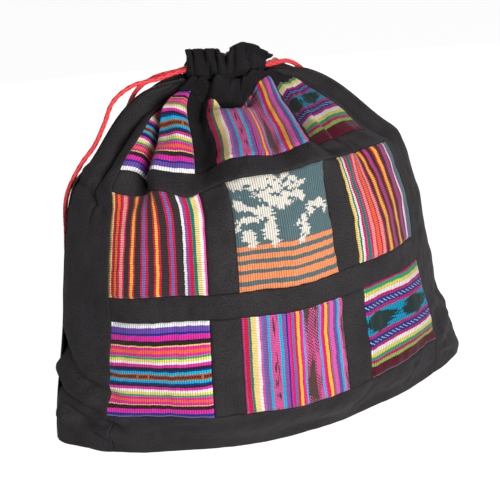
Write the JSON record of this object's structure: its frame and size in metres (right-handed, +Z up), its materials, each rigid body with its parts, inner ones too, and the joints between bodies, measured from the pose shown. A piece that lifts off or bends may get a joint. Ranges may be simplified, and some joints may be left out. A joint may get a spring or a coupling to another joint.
{
  "type": "backpack",
  "caption": "Stuffed drawstring backpack with a handwoven patchwork front, black cotton sides and back, a gathered ruffled neck and red cord straps.",
  "frame": {"origin": "on the floor, under the middle of the standing bag's box", "axes": "+Z up; the patchwork front faces -Y; +X to the right as seen from the front"},
  "size_m": [0.463, 0.2612, 0.3764],
  "materials": {
    "black_cotton": "black cotton twill",
    "stripe_weave": "ribbed handwoven cotton in crosswise stripes",
    "red_weave": "ribbed handwoven cotton in red and charcoal stripes",
    "rose_weave": "ribbed handwoven cotton in rose and blue stripes",
    "turquoise_weave": "ribbed handwoven cotton with turquoise ikat stripes",
    "ikat_weave": "ribbed handwoven ikat cotton",
    "red_cord": "braided red cord with a soft sheen"
  },
  "bodies": {
    "root": {"patch_lower_left": "stripe_weave", "patch_lower_centre": "rose_weave", "patch_lower_right": "turquoise_weave", "strip_lower_left": "black_cotton", "strip_lower_right": "black_cotton", "patch_middle_left": "red_weave", "patch_middle_centre": "ikat_weave", "patch_middle_right": "red_weave", "strip_middle_left": "black_cotton", "strip_middle_right": "black_cotton", "patch_upper_left": "stripe_weave", "patch_upper_centre": "rose_weave", "patch_upper_right": "turquoise_weave", "strip_upper_left": "black_cotton", "strip_upper_right": "black_cotton", "band_lower": "black_cotton", "band_upper": "black_cotton", "hem_band": "black_cotton", "top_band": "black_cotton", "border_left": "black_cotton", "border_right": "black_cotton", "back_panel": "black_cotton", "base_panel": "black_cotton", "casing_front": "black_cotton", "casing_back": "black_cotton", "cord_left": "red_cord", "tab_left": "black_cotton", "knot_left": "red_cord", "cord_right": "red_cord", "tab_right": "black_cotton", "knot_right": "red_cord"}
  },
  "joints": []
}
